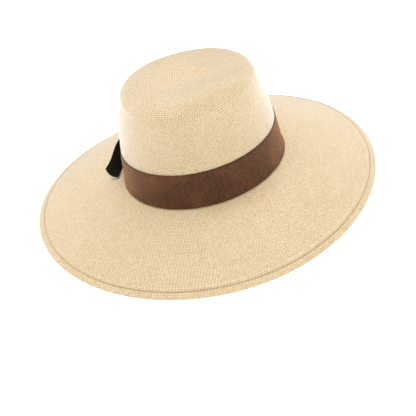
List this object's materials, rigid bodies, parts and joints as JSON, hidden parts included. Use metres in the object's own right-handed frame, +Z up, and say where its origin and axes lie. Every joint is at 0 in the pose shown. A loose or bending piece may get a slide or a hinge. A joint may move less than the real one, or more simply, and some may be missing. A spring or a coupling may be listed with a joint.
{
  "type": "panama hat",
  "caption": "Wide-brimmed woven straw hat with a dented crown, a ribbon hatband with a bow at the side, a stitched folded brim edge and an inner sweatband.",
  "frame": {"origin": "middle of the brim's outline, at the height of the brim's lowest edge", "axes": "+Z up through the crown, -Y towards the front of the hat, +X towards the wearer's left"},
  "size_m": [0.3834, 0.4178, 0.151],
  "materials": {
    "straw": "fine woven palm straw in concentric rings, matt with a faint sheen",
    "wire": "extruded plastic cord",
    "straw_thread": "spun thread, straw coloured",
    "brown_ribbon": "ribbed grosgrain ribbon with a soft sheen",
    "brown_thread": "spun thread, dark brown",
    "black_ribbon": "ribbed grosgrain ribbon, near black",
    "black_thread": "spun thread, black",
    "cotton_ribbon": "ribbed cotton ribbon, off white",
    "label_cloth": "close woven tape, blank"
  },
  "bodies": {
    "root": {"straw_body": "straw", "brim_wire": "wire", "hem_top_thread": "straw_thread", "hem_bottom_thread": "straw_thread", "hatband": "brown_ribbon", "hatband_tacks": "brown_thread", "bow_tails": "black_ribbon", "bow_loops": "black_ribbon", "bow_knot": "black_ribbon", "bow_tacks": "black_thread", "sweatband": "cotton_ribbon", "sweatband_thread": "straw_thread", "sweatband_lap_stitches": "straw_thread", "back_label": "label_cloth"}
  },
  "joints": []
}
